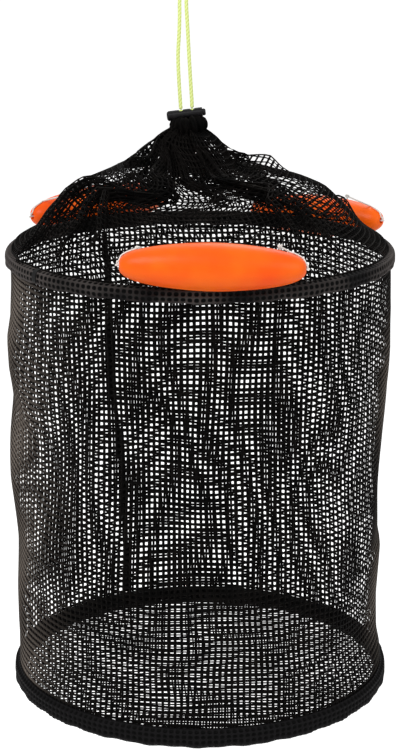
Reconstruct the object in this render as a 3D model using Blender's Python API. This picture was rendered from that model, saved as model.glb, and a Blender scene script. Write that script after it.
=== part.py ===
"""Round keep net with two wire hoops, a neck drawn shut by a cord and its lock, and three floats.

Metres, +Z up. The origin is where a hook bears inside the bight of the draw cord, and the net hangs
below it. Angles run anticlockwise from +X, seen from above, and the front faces -Y.
"""

import math

import bmesh
import bpy
from mathutils import Matrix, Vector

# Fits shared by the whole net
FIT_GAP = 0.0003
CUT_OVERRUN = 0.002
WELD = 1e-6
SHARP_DEG = 40

# Hoops
HOOP_DIAMETER = 0.330
HOOP_WIRE_DIAMETER = 0.004
WIRE_END_GAP = 0.0012
FERRULE_LENGTH = 0.034
FERRULE_WALL = 0.0007
NET_DEPTH = 0.386
RING_STEPS = 40
RING_SIDES = 8

# Knitted sleeves round the hoops
SLEEVE_WALL = 0.0012
TOP_SLEEVE_HEIGHT = 0.0124
BOTTOM_SLEEVE_HEIGHT = 0.0162
SLEEVE_SEAM_GAP = 0.0010
TOP_SEAM_DEG = 216
BOTTOM_SEAM_DEG = 9
FERRULE_DEG = 99
TOP_PATCH_WIDTH = 0.0052
BOTTOM_PATCH_WIDTH = 0.018
PATCH_THICKNESS = 0.0010

# Netting
THREAD_DIAMETER = 0.0018
NET_COLUMNS = 24
WALL_ROWS = 5
WALL_WAIST_SHARE = 0.03
WALL_FOLD = 0.0022
WALL_FOLD_COUNT = 5
BASE_CELLS = 10
CELLS_ROUND_A_KNOT = 4
WALL_SEAM_WIDTH = 0.005
WALL_SEAM_THICKNESS = 0.0012
WALL_SEAM_CLEARANCE = 0.0006
WALL_SEAM_TOP_DEG = 123
WALL_SEAM_BOTTOM_DEG = 116

# Neck: shares of the way in to the mouth and of the way up to it, row by row. The sides stand in
# shoulders, and a float that lies on the hoop presses the first row in.
NECK_HEIGHT = 0.1237
NECK_PHASE_DEG = 3.3
NECK_INWARD_SHARES = (0, 0.152, 0.352, 0.667)
NECK_UPWARD_SHARES = (0, 0.215, 0.440, 0.640)
NECK_LEAN_SHARES = (0, 0.05, 0.20, 0.55)
NECK_PLEAT_SHARES = (0, 0.006, 0.030, 0.090)
NECK_SHOULDER_SHARES = (0, 0, 0.045, 0.015)
NECK_PRESS_IN = 0.010
NECK_PRESS_DOWN = 0.0095
NECK_PRESS_WIDTH_DEG = 11
PRESSING_FLOATS = ("front",)
KNOT_TENT = 0.018
KNOT_TENT_WIDTH_DEG = 9
MOUTH_COLUMNS = 12
MOUTH_RADIUS = 0.0128

# Cord lock, whose frame stands at the middle of its two cord holes
LOCK_LEAN = 0.0111
LOCK_TILT_DEG = 7
SLIDE_TILT_DEG = 3.4
LOCK_DIAMETER = 0.0088
LOCK_LEFT = 0.0175
LOCK_RIGHT = 0.0133
LOCK_END_ROUND = 0.0024
LOCK_END_WALL = 0.0018
LOCK_BORE_DIAMETER = 0.0066
LOCK_HOLE_DIAMETER = 0.0056
LOCK_HOLE_SPACING = 0.0097
LOCK_SIDES = 20
LOCK_CUTTER_SIDES = 16
LOCK_ROUND_STEPS = 4
CORD_PLAY = 0.0009
PLUNGER_PROUD = 0.0028
PLUNGER_DOME = 0.0014
PLUNGER_TRAVEL = 0.0024
PLUNGER_END_WALL = 0.0015
PLUNGER_SLOT_WIDTH = 0.0040
SPRING_WIRE_DIAMETER = 0.0005
SPRING_TURNS = 3.5
SPRING_TURN_POINTS = 12

# Draw cord, and the bunched hem that it gathers
CORD_DIAMETER = 0.0033
CORD_CHANNEL_GAP = 0.0004
CORD_DROP = 0.0040
HEM_HEIGHT = 0.0118
HEM_RADIUS = 0.0135
HEM_HEIGHT_SHARES = (0, 0.22, 0.62, 1)
HEM_RADIUS_SHARES = (0.70, 0.90, 1, 0.80)
HEM_LOBES = 12
HEM_LOBE_SHARE = 0.09
HEM_EYE_DIAMETER = 0.0030
HEM_EYE_SIDES = 8
HANG_OFFSET = 0.0146
BIGHT_RISE = 0.311
CORD_SMOOTHING = 3
CORD_BEND_STEPS = 12
CORD_ROUND_STEPS = 2
TWINE_ROUND_STEPS = 1

# Route of the cord's free bight between its ends at the lock, over the hook: how far sideways, and
# the share of the way down from the hook to the lock
BIGHT_ROUTE = (
    (-0.00235, 0.960),
    (-0.00285, 0.920),
    (-0.00350, 0.858),
    (-0.00395, 0.801),
    (-0.00410, 0.739),
    (-0.00324, 0.660),
    (-0.00277, 0.586),
    (-0.00272, 0.513),
    (-0.00282, 0.349),
    (-0.00449, 0.207),
    (-0.00669, 0.111),
    (-0.00596, 0.046),
    (-0.00324, 0.011),
    (0.00000, 0.000),
    (0.00324, 0.011),
    (0.00596, 0.046),
    (0.00669, 0.111),
    (0.00460, 0.207),
    (0.00313, 0.349),
    (0.00303, 0.513),
    (0.00366, 0.586),
    (0.00439, 0.660),
    (0.00512, 0.739),
    (0.00590, 0.812),
    (0.00679, 0.892),
    (0.00747, 0.948),
)

# Floats: angle round the net, distance out from the hoop, height over it, tilt, and turn from the
# tangent
FLOAT_LENGTH = 0.149
FLOAT_DIAMETER = 0.0395
FLOAT_FULLNESS = 1.55
FLOAT_ROUNDNESS = 0.335
FLOAT_STATIONS = 16
FLOAT_SIDES = 24
FLOAT_BORE_DIAMETER = 0.0026
FLOAT_FACE_DIAMETER = 0.0068
FLOAT_PLACES = {
    "front": (273.3, 0.0095, 0.0276, 1.9, 0),
    "left": (120.7, 0.0222, 0.0133, 1.4, 4.8),
    "right": (54.8, 0.0252, 0.0052, 3.0, -2.9),
}

# Twine that ties each float
TWINE_DIAMETER = 0.0015
TWINE_CLEARANCE = 0.0006
TWINE_LEAD_DEG = 52
TWINE_REST_SHARES = (0.995, 0.965, 0.92, 0.87, 0.82)
KNOT_DIAMETER = 0.0048
KNOT_REACH_DEG = 22.5
KNOT_SIDES = 8
KNOT_RINGS = 5

HOOP_RADIUS = HOOP_DIAMETER / 2
WIRE_RADIUS = HOOP_WIRE_DIAMETER / 2
THREAD_RADIUS = THREAD_DIAMETER / 2
FERRULE_BORE_RADIUS = WIRE_RADIUS + FIT_GAP
FERRULE_RADIUS = FERRULE_BORE_RADIUS + FERRULE_WALL
SLEEVE_HALF_WIDTH = FERRULE_RADIUS + FIT_GAP + SLEEVE_WALL
CORD_RADIUS = CORD_DIAMETER / 2
TWINE_RADIUS = TWINE_DIAMETER / 2
KNOT_RADIUS = KNOT_DIAMETER / 2
LOCK_RADIUS = LOCK_DIAMETER / 2
STRAND_OFFSET = LOCK_HOLE_SPACING / 2


def material(name, colour, roughness, metallic=0.0):
    made = bpy.data.materials.new(name)
    made.use_nodes = True
    shader = made.node_tree.nodes["Principled BSDF"]
    shader.inputs["Base Color"].default_value = (*colour, 1)
    shader.inputs["Roughness"].default_value = roughness
    shader.inputs["Metallic"].default_value = metallic
    return made


def empty(name, matrix):
    made = bpy.data.objects.new(name, None)
    bpy.context.scene.collection.objects.link(made)
    made.matrix_world = matrix
    return made


def finished(name, data, look, parent, matrix=None):
    """Links an object whose data is in its parent's frame, or in that of a matrix inside it."""
    made = bpy.data.objects.new(name, data)
    bpy.context.scene.collection.objects.link(made)
    data.materials.append(look)
    made.parent = parent
    made.matrix_local = matrix or Matrix()
    return made


def hang_on(pieces, pivot):
    """Puts pieces under the empty that marks their joint, where they are."""
    bpy.context.view_layer.update()
    for piece in pieces:
        place = piece.matrix_world.copy()
        piece.parent = pivot
        piece.matrix_world = place


def mesh_from(build, name):
    """A smooth-shaded mesh out of a bmesh, its faces turned outwards."""
    bmesh.ops.recalc_face_normals(build, faces=build.faces)
    made = bpy.data.meshes.new(name)
    build.to_mesh(made)
    build.free()
    made.shade_smooth()
    made.set_sharp_from_angle(angle=math.radians(SHARP_DEG))
    return made


def bridge(build, first, second):
    """Quads between two closed loops of as many vertices."""
    for here, ahead, ahead_too, here_too in zip(
        first, first[1:] + first[:1], second[1:] + second[:1], second
    ):
        build.faces.new((here, ahead, ahead_too, here_too))


def loft(name, sections):
    """A solid through closed sections, with flat ends."""
    build = bmesh.new()
    loops = [[build.verts.new(point) for point in section] for section in sections]
    for first, second in zip(loops, loops[1:]):
        bridge(build, first, second)
    build.faces.new(loops[0])
    build.faces.new(loops[-1])
    return mesh_from(build, name)


def pipe(name, outer_sections, inner_sections):
    """A hollow solid, open at both ends."""
    build = bmesh.new()
    outer = [[build.verts.new(point) for point in section] for section in outer_sections]
    inner = [[build.verts.new(point) for point in section] for section in inner_sections]
    for first, second in zip(outer, outer[1:]):
        bridge(build, first, second)
    for first, second in zip(inner, inner[1:]):
        bridge(build, second, first)
    bridge(build, inner[0], outer[0])
    bridge(build, outer[-1], inner[-1])
    return mesh_from(build, name)


def turned(name, profile, sides):
    """A solid of revolution about X, from (along, radius) points that start and end on the axis
    or that close on themselves round a bore."""
    build = bmesh.new()
    bored = min(radius for along, radius in profile) > 0
    verts = [build.verts.new((along, 0, radius)) for along, radius in profile]
    edges = [build.edges.new(pair) for pair in zip(verts, verts[1:])]
    if bored:
        edges.append(build.edges.new((verts[-1], verts[0])))
    bmesh.ops.spin(
        build, geom=verts + edges, axis=(1, 0, 0), cent=(0, 0, 0), steps=sides, angle=math.tau
    )
    bmesh.ops.remove_doubles(build, verts=build.verts, dist=WELD)
    return mesh_from(build, name)


def ring_direction(angle_deg):
    """Outward direction on the many-sided ring that every hoop piece shares, so that they nest."""
    step = 360 / RING_STEPS
    corner = math.floor(angle_deg / step)
    share = angle_deg / step - corner
    here, ahead = (
        Vector((math.cos(math.radians(k * step)), math.sin(math.radians(k * step)), 0))
        for k in (corner, corner + 1)
    )
    return here.lerp(ahead, share)


def ring_angles(start, stop):
    """The two ends of an arc and each corner of the ring between them, in degrees."""
    step = 360 / RING_STEPS
    inside = range(math.floor(start / step) + 1, math.ceil(stop / step))
    return [start, *(k * step for k in inside), stop]


def band_outline(half_width, half_height):
    """Points (out, up) round a band with rounded edges, from its inner lower corner outwards."""
    straight = half_height - half_width
    outline = []
    for k in range(RING_SIDES):
        turn = math.tau * (k + 0.5) / RING_SIDES - math.pi / 2
        rise = math.copysign(straight, math.sin(turn))
        outline.append((half_width * math.cos(turn), half_width * math.sin(turn) + rise))
    return outline


def round_outline(radius):
    return band_outline(radius, radius)


def ring_sections(outline, height, start, stop):
    """An outline of (out, up) points carried round the hoop."""
    return [
        [
            ring_direction(angle) * (HOOP_RADIUS + out) + Vector((0, 0, height + up))
            for out, up in outline
        ]
        for angle in ring_angles(start, stop)
    ]


def arc_deg(length):
    return math.degrees(length / HOOP_RADIUS)


def hoop(label, wire_height, sleeve_height, seam_deg, patch_width, net):
    """Wire, ferrule, sleeve and seam patch of one hoop. Returns the sleeve's middle height."""
    half = arc_deg(WIRE_END_GAP) / 2
    wire = ring_sections(
        round_outline(WIRE_RADIUS),
        wire_height,
        FERRULE_DEG + half,
        FERRULE_DEG + 360 - half,
    )
    pieces = [finished(f"{label}_hoop_wire", loft(label, wire), LOOKS["wire"], net)]
    half = arc_deg(FERRULE_LENGTH) / 2
    span = (wire_height, FERRULE_DEG - half, FERRULE_DEG + half)
    ferrule = pipe(
        label,
        ring_sections(round_outline(FERRULE_RADIUS), *span),
        ring_sections(round_outline(FERRULE_BORE_RADIUS), *span),
    )
    pieces.append(finished(f"{label}_hoop_ferrule", ferrule, LOOKS["ferrule"], net))
    inner_half_height = sleeve_height / 2 - SLEEVE_WALL
    middle = wire_height + inner_half_height - FERRULE_RADIUS - FIT_GAP
    half = arc_deg(SLEEVE_SEAM_GAP) / 2
    span = (middle, seam_deg + half, seam_deg + 360 - half)
    sleeve = pipe(
        label,
        ring_sections(band_outline(SLEEVE_HALF_WIDTH, sleeve_height / 2), *span),
        ring_sections(band_outline(SLEEVE_HALF_WIDTH - SLEEVE_WALL, inner_half_height), *span),
    )
    pieces.append(finished(f"{label}_hoop_sleeve", sleeve, LOOKS["sleeve"], net))
    half = arc_deg(patch_width) / 2
    near, far = (
        band_outline(SLEEVE_HALF_WIDTH + away, sleeve_height / 2 + away)[: RING_SIDES // 2]
        for away in (FIT_GAP, FIT_GAP + PATCH_THICKNESS)
    )
    patch = ring_sections(near + far[::-1], middle, seam_deg - half, seam_deg + half)
    pieces.append(finished(f"{label}_sleeve_patch", loft(label, patch), LOOKS["patch"], net))
    return pieces, middle


def lattice(name, rows, look, net):
    """Open netting: knotless threads along every edge of the cells between rows of points.
    A row with half the points of the one before takes two of its cells together."""
    build = bmesh.new()
    verts = [[build.verts.new(point) for point in row] for row in rows]
    for lower, upper in zip(verts, verts[1:]):
        ratio = len(lower) // len(upper)
        for k in range(len(upper)):
            start = k * ratio
            foot = [lower[(start + j) % len(lower)] for j in range(ratio + 1)]
            build.faces.new([*foot, upper[(k + 1) % len(upper)], upper[k]])
    return threaded(name, build, look, net)


def threaded(name, build, look, net):
    made = finished(name, mesh_from(build, name), look, net)
    wires = made.modifiers.new("threads", "WIREFRAME")
    wires.thickness = THREAD_DIAMETER
    wires.use_even_offset = False
    wires.use_boundary = True
    wires.use_replace = True
    return made


def wall_point(angle_deg, share, top, bottom):
    """A point of the wall, drawn in at mid height and lightly folded."""
    angle = math.radians(angle_deg)
    swell = math.sin(math.pi * share)
    fold = WALL_FOLD * swell * math.sin(WALL_FOLD_COUNT * angle + math.pi * share)
    radius = HOOP_RADIUS * (1 - WALL_WAIST_SHARE * swell) + fold
    return Vector((radius * math.cos(angle), radius * math.sin(angle), top + (bottom - top) * share))


def wall_thread_point(angle_deg, share, top, bottom):
    """A point on the flat cells of the wall's lattice."""
    step = 360 / NET_COLUMNS
    column = math.floor(angle_deg / step)
    row = min(math.floor(share * WALL_ROWS), WALL_ROWS - 1)
    across = angle_deg / step - column
    down = share * WALL_ROWS - row
    upper, lower = (
        wall_point(column * step, k / WALL_ROWS, top, bottom).lerp(
            wall_point((column + 1) * step, k / WALL_ROWS, top, bottom), across
        )
        for k in (row, row + 1)
    )
    return upper.lerp(lower, down)


def wall(top, bottom, net):
    rows = [
        [wall_point(360 * k / NET_COLUMNS, row / WALL_ROWS, top, bottom) for k in range(NET_COLUMNS)]
        for row in range(WALL_ROWS + 1)
    ]
    netting = lattice("wall_net", rows, LOOKS["net"], net)
    near = THREAD_RADIUS + FIT_GAP + WALL_SEAM_CLEARANCE
    half = arc_deg(WALL_SEAM_WIDTH) / 2
    sections = []
    for row in range(WALL_ROWS + 1):
        share = row / WALL_ROWS
        middle = WALL_SEAM_TOP_DEG + (WALL_SEAM_BOTTOM_DEG - WALL_SEAM_TOP_DEG) * share
        out = ring_direction(middle)
        edges = [wall_thread_point(middle + side, share, top, bottom) for side in (-half, half)]
        sections.append(
            [edge + out * near for edge in edges]
            + [edge + out * (near + WALL_SEAM_THICKNESS) for edge in reversed(edges)]
        )
    tape = finished("wall_seam_tape", loft("tape", sections), LOOKS["tape"], net)
    return [netting, tape]


def base(height, net):
    """Flat square netting. Its outermost points are drawn out to the sleeve that holds them."""
    radius = HOOP_RADIUS - SLEEVE_HALF_WIDTH - FIT_GAP - THREAD_RADIUS
    pitch = 2 * radius / BASE_CELLS
    build = bmesh.new()
    corners = {}
    cells = []
    for i in range(BASE_CELLS):
        for j in range(BASE_CELLS):
            middle = Vector((i + 0.5, j + 0.5)) * pitch - Vector((radius, radius))
            if middle.length < radius:
                cells.append([(i, j), (i + 1, j), (i + 1, j + 1), (i, j + 1)])
    used = {key: sum(key in cell for cell in cells) for cell in cells for key in cell}
    for (i, j), count in used.items():
        point = Vector((i, j)) * pitch - Vector((radius, radius))
        if count < CELLS_ROUND_A_KNOT:
            angle_deg = math.degrees(math.atan2(point.y, point.x)) % 360
            point = (ring_direction(angle_deg) * radius).to_2d()
        corners[i, j] = build.verts.new((*point, height))
    for cell in cells:
        build.faces.new([corners[key] for key in cell])
    return threaded("base_net", build, LOOKS["net"], net)


def angle_between(first, second):
    return abs((first - second + 180) % 360 - 180)


def hump(distance, width):
    """1 at no distance, falling smoothly to nothing past about twice the width."""
    return math.exp(-((distance / width) ** 2))


def neck_point(angle_deg, row, foot):
    """A corner of the neck's lattice: leaning towards the lock, pleated, shouldered at the sides,
    pressed in under a float and drawn out where one is tied."""
    angle = math.radians(angle_deg)
    rise = NECK_HEIGHT - foot
    radius = HOOP_RADIUS * (1 - NECK_INWARD_SHARES[row])
    column = round((angle_deg - NECK_PHASE_DEG) * NET_COLUMNS / 360)
    radius *= 1 + NECK_PLEAT_SHARES[row] * (-1) ** column
    shoulder = NECK_SHOULDER_SHARES[row] * math.cos(angle) ** 2
    height = foot + rise * (NECK_UPWARD_SHARES[row] + shoulder)
    if row == 1:
        for side in (-1, 1):
            for place in FLOAT_PLACES.values():
                knot = angle_between(angle_deg, place[0] + side * KNOT_REACH_DEG)
                radius += KNOT_TENT * hump(knot, KNOT_TENT_WIDTH_DEG)
        for label in PRESSING_FLOATS:
            pressed = hump(angle_between(angle_deg, FLOAT_PLACES[label][0]), NECK_PRESS_WIDTH_DEG)
            radius -= NECK_PRESS_IN * pressed
            height -= NECK_PRESS_DOWN * pressed
    lean = LOCK_LEAN * NECK_LEAN_SHARES[row]
    return Vector((radius * math.cos(angle) - lean, radius * math.sin(angle), height))


def neck_angle(column):
    return NECK_PHASE_DEG + 360 * column / NET_COLUMNS


def neck(foot, lock_frame, net):
    rows = [
        [neck_point(neck_angle(k), row, foot) for k in range(NET_COLUMNS)]
        for row in range(len(NECK_INWARD_SHARES))
    ]
    drop = -LOCK_RADIUS - FIT_GAP - HEM_HEIGHT - FIT_GAP - THREAD_RADIUS
    mouth = []
    for k in range(MOUTH_COLUMNS):
        angle = math.radians(neck_angle(k * NET_COLUMNS // MOUTH_COLUMNS))
        edge = Vector((MOUTH_RADIUS * math.cos(angle), MOUTH_RADIUS * math.sin(angle), drop))
        mouth.append(lock_frame @ edge)
    return lattice("neck_net", [*rows, mouth], LOOKS["net"], net)


def neck_thread_point(angle_deg, foot):
    """A point on the thread that runs round the neck one row above the hoop."""
    column = math.floor((angle_deg - NECK_PHASE_DEG) * NET_COLUMNS / 360)
    here, ahead = (neck_point(neck_angle(k), 1, foot) for k in (column, column + 1))
    share = (angle_deg - neck_angle(column)) * NET_COLUMNS / 360
    return here.lerp(ahead, share)


def smooth_route(points, steps):
    """A Catmull-Rom curve through the points, with as many steps between each two."""
    padded = [2 * points[0] - points[1], *points, 2 * points[-1] - points[-2]]
    made = []
    for before, start, end, after in zip(padded, padded[1:], padded[2:], padded[3:]):
        for k in range(steps):
            t = k / steps
            made.append(
                (
                    start * 2
                    + (end - before) * t
                    + (before * 2 - start * 5 + end * 4 - after) * t**2
                    + (start * 3 - before - end * 3 + after) * t**3
                )
                / 2
            )
    return [*made, points[-1]]


def cord_curve(name, points, radius, resolution):
    made = bpy.data.curves.new(name, "CURVE")
    made.dimensions = "3D"
    made.bevel_depth = radius
    made.bevel_resolution = resolution
    made.use_fill_caps = True
    spline = made.splines.new("POLY")
    spline.points.add(len(points) - 1)
    for target, point in zip(spline.points, points):
        target.co = (*point, 1)
    return made


def cut(target, cutters):
    for cutter in cutters:
        cutter.hide_render = True
        cutter.display_type = "WIRE"
        modifier = target.modifiers.new(cutter.name, "BOOLEAN")
        modifier.operation = "DIFFERENCE"
        modifier.solver = "EXACT"
        modifier.object = cutter


def upright_rod(name, radius, half_length, along, parent, stretch=0.0):
    """A cutter along the lock's upright axis, lengthened along the lock by a stretch."""
    outline = []
    for k in range(LOCK_CUTTER_SIDES):
        turn = math.tau * (k + 0.5) / LOCK_CUTTER_SIDES
        shift = stretch if math.cos(turn) > 0 else 0
        outline.append((along + shift + radius * math.cos(turn), radius * math.sin(turn)))
    sections = [[Vector((x, y, z)) for x, y in outline] for z in (-half_length, half_length)]
    return finished(name, loft(name, sections), LOOKS["lock"], parent)


def cord_lock(lock):
    """Barrel body, plunger with its button, and the spring behind it."""
    half_cut = LOCK_RADIUS + CUT_OVERRUN
    bore_end = -LOCK_LEFT + LOCK_END_WALL
    bore_radius = LOCK_BORE_DIAMETER / 2
    shell = [(-LOCK_LEFT, 0)]
    for k in range(LOCK_ROUND_STEPS + 1):
        turn = math.pi / 2 * k / LOCK_ROUND_STEPS
        shell.append(
            (
                -LOCK_LEFT + LOCK_END_ROUND * (1 - math.cos(turn)),
                LOCK_RADIUS - LOCK_END_ROUND * (1 - math.sin(turn)),
            )
        )
    rim = FIT_GAP
    shell += [
        (LOCK_RIGHT - rim, LOCK_RADIUS),
        (LOCK_RIGHT, LOCK_RADIUS - rim),
        (LOCK_RIGHT, bore_radius),
        (bore_end, bore_radius),
        (bore_end, 0),
    ]
    body = finished("cord_lock_body", turned("body", shell, LOCK_SIDES), LOOKS["lock"], lock)
    holes = [
        upright_rod(f"hole_{side}", LOCK_HOLE_DIAMETER / 2, half_cut, side * STRAND_OFFSET, lock)
        for side in (-1, 1)
    ]
    cut(body, holes)

    reach = CORD_RADIUS + CORD_PLAY + FIT_GAP
    plunger_radius = bore_radius - FIT_GAP
    plunger_start = -STRAND_OFFSET - reach - PLUNGER_END_WALL
    tip = LOCK_RIGHT + PLUNGER_PROUD
    stem = [(plunger_start, 0), (plunger_start, plunger_radius)]
    for k in range(LOCK_ROUND_STEPS + 1):
        turn = math.pi / 2 * k / LOCK_ROUND_STEPS
        stem.append(
            (
                tip - PLUNGER_DOME * (1 - math.sin(turn)),
                plunger_radius - PLUNGER_DOME * (1 - math.cos(turn)),
            )
        )
    stem.append((tip, 0))
    plunger = finished(
        "cord_lock_button", turned("plunger", stem, LOCK_SIDES), LOOKS["button"], lock
    )
    slots = []
    for side in (-1, 1):
        radius = PLUNGER_SLOT_WIDTH / 2
        start = side * STRAND_OFFSET - reach + radius
        stretch = 2 * reach - 2 * radius + PLUNGER_TRAVEL
        slots.append(upright_rod(f"slot_{side}", radius, half_cut, start, lock, stretch))
    cut(plunger, slots)

    wire_radius = SPRING_WIRE_DIAMETER / 2
    coil_radius = plunger_radius - wire_radius - FIT_GAP
    start = bore_end + FIT_GAP + wire_radius
    length = plunger_start - FIT_GAP - wire_radius - start
    count = round(SPRING_TURNS * SPRING_TURN_POINTS)
    helix = []
    for k in range(count + 1):
        turn = math.tau * k / SPRING_TURN_POINTS
        helix.append(
            Vector(
                (
                    start + length * k / count,
                    coil_radius * math.cos(turn),
                    coil_radius * math.sin(turn),
                )
            )
        )
    spring = finished(
        "cord_lock_spring", cord_curve("spring", helix, wire_radius, TWINE_ROUND_STEPS), LOOKS["spring"], lock
    )
    return body, plunger, spring


def strand_loop(top):
    """Down the left strand, round under the hem's eye and up the right strand."""
    bend = -LOCK_RADIUS - CORD_DROP
    route = [Vector((-STRAND_OFFSET, 0, top)), Vector((-STRAND_OFFSET, 0, -LOCK_RADIUS))]
    for k in range(CORD_BEND_STEPS + 1):
        turn = math.pi * (1 + k / CORD_BEND_STEPS)
        route.append(
            Vector((STRAND_OFFSET * math.cos(turn), 0, bend + STRAND_OFFSET * math.sin(turn)))
        )
    return [*route, Vector((STRAND_OFFSET, 0, -LOCK_RADIUS)), Vector((STRAND_OFFSET, 0, top))]


def mouth_hem(lock):
    """The bunched hem: gathers round a channel for the cord, with the eye that the bunch leaves."""
    top = -LOCK_RADIUS - FIT_GAP
    sections = []
    for height_share, radius_share in zip(HEM_HEIGHT_SHARES, HEM_RADIUS_SHARES):
        ring = []
        for k in range(2 * HEM_LOBES):
            turn = math.tau * k / (2 * HEM_LOBES)
            radius = HEM_RADIUS * radius_share * (1 + HEM_LOBE_SHARE * (-1) ** k)
            ring.append(
                Vector(
                    (
                        radius * math.cos(turn),
                        radius * math.sin(turn),
                        top - HEM_HEIGHT * height_share,
                    )
                )
            )
        sections.append(ring)
    hem = finished("mouth_hem", loft("hem", sections), LOOKS["net"], lock)
    channel_curve = bpy.data.objects.new(
        "channel_curve",
        cord_curve("channel", strand_loop(CUT_OVERRUN), CORD_RADIUS + CORD_CHANNEL_GAP, CORD_ROUND_STEPS),
    )
    channel = finished(
        "channel", bpy.data.meshes.new_from_object(channel_curve), LOOKS["net"], lock
    )
    bpy.data.objects.remove(channel_curve)
    eye_radius = HEM_EYE_DIAMETER / 2
    eye_height = top - eye_radius - HEM_EYE_DIAMETER
    eye_sections = []
    for y in (-HEM_RADIUS - CUT_OVERRUN, HEM_RADIUS + CUT_OVERRUN):
        ring = []
        for k in range(HEM_EYE_SIDES):
            turn = math.tau * k / HEM_EYE_SIDES
            ring.append(
                Vector((eye_radius * math.cos(turn), y, eye_height + eye_radius * math.sin(turn)))
            )
        eye_sections.append(ring)
    eye = finished("eye", loft("eye", eye_sections), LOOKS["net"], lock)
    cut(hem, [channel, eye])
    return hem


def float_radius(along):
    share = min(abs(along) / (FLOAT_LENGTH / 2), 1)
    return FLOAT_DIAMETER / 2 * (1 - share**FLOAT_FULLNESS) ** FLOAT_ROUNDNESS


def float_half_length():
    """Where the float's outline meets the small flat face round its bore."""
    face = (FLOAT_FACE_DIAMETER / FLOAT_DIAMETER) ** (1 / FLOAT_ROUNDNESS)
    return FLOAT_LENGTH / 2 * (1 - face) ** (1 / FLOAT_FULLNESS)


def float_mesh():
    half = float_half_length()
    bore = FLOAT_BORE_DIAMETER / 2
    profile = [(-half, bore)]
    for k in range(FLOAT_STATIONS + 1):
        along = -half * math.cos(math.pi * k / FLOAT_STATIONS)
        profile.append((along, float_radius(along)))
    profile.append((half, bore))
    return turned("float", profile, FLOAT_SIDES)


def float_matrix(place):
    angle_deg, away, height, tilt, turn = place
    angle = math.radians(angle_deg)
    out = HOOP_RADIUS + away
    where = Matrix.Translation((out * math.cos(angle), out * math.sin(angle), height))
    facing = Matrix.Rotation(angle + math.pi / 2 + math.radians(turn), 4, "Z")
    return where @ facing @ Matrix.Rotation(math.radians(tilt), 4, "Y")


def beside_float(along, away):
    """(along, radius) of a point that far off the float's surface."""
    slope = (float_radius(along + WELD) - float_radius(along - WELD)) / (2 * WELD)
    steepness = math.hypot(slope, 1)
    return along - away * slope / steepness, float_radius(along) + away / steepness


def twine_route(frame, knots):
    """From one knot over the float's end, through its bore and back to the other knot."""
    half = float_half_length()
    away = TWINE_RADIUS + TWINE_CLEARANCE
    halves = []
    for side, knot in zip((-1, 1), knots):
        end = Vector((side, 0, 0))
        pull = frame.inverted() @ knot
        turn = math.atan2(pull.z, pull.y) + math.radians(TWINE_LEAD_DEG)
        up = Vector((0, math.cos(turn), math.sin(turn)))
        profile = [(half, 0), (half + away, FLOAT_BORE_DIAMETER / 4)]
        profile += [beside_float(half * share, away) for share in TWINE_REST_SHARES]
        route = [frame @ (end * along + up * radius) for along, radius in profile]
        tied = knot + (route[-1] - knot).normalized() * (KNOT_RADIUS + FIT_GAP)
        halves.append([*smooth_route(route, CORD_SMOOTHING), tied])
    left, right = halves
    return left[::-1] + right


def knot_mesh():
    build = bmesh.new()
    bmesh.ops.create_uvsphere(
        build, u_segments=KNOT_SIDES, v_segments=KNOT_RINGS, radius=KNOT_RADIUS
    )
    return mesh_from(build, "knot")


def tied_float(label, place, foot, net):
    frame = float_matrix(place)
    knots = []
    for side in (-1, 1):
        thread = neck_thread_point(place[0] + side * KNOT_REACH_DEG, foot)
        out = Vector((thread.x, thread.y, 0)).normalized()
        lift = (out + Vector((0, 0, 1))).normalized()
        knots.append(thread + lift * (THREAD_RADIUS + FIT_GAP + KNOT_RADIUS))
    for name, knot in zip(("left", "right"), knots):
        finished(f"{label}_knot_{name}", knot_mesh(), LOOKS["twine"], net, Matrix.Translation(knot))
    buoy = finished(f"{label}_float", float_mesh(), LOOKS["float"], net, frame)
    route = twine_route(frame, knots)
    twine = finished(
        f"{label}_float_twine", cord_curve(label, route, TWINE_RADIUS, TWINE_ROUND_STEPS), LOOKS["twine"], net
    )
    line = knots[1] - knots[0]
    swing = empty(
        f"{label}_swing",
        net.matrix_world
        @ Matrix.Translation(sum(knots, Vector()) / 2)
        @ line.to_track_quat("X", "Z").to_matrix().to_4x4(),
    )
    hang_on([buoy, twine], swing)


def bight(lock_frame, net):
    """The free cord above the lock, hanging from the origin inside its bend."""
    ends = [
        net.matrix_world @ lock_frame @ Vector((side * STRAND_OFFSET, 0, LOCK_RADIUS + FIT_GAP))
        for side in (-1, 1)
    ]
    drop = CORD_RADIUS - ends[0].z
    between = [Vector((x, 0, CORD_RADIUS - drop * share)) for x, share in BIGHT_ROUTE]
    route = smooth_route([ends[0], *between, ends[1]], CORD_SMOOTHING)
    loop = finished(
        "draw_cord_bight", cord_curve("bight", route, CORD_RADIUS, CORD_ROUND_STEPS), LOOKS["cord"], net
    )
    loop.matrix_world = Matrix()


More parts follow.
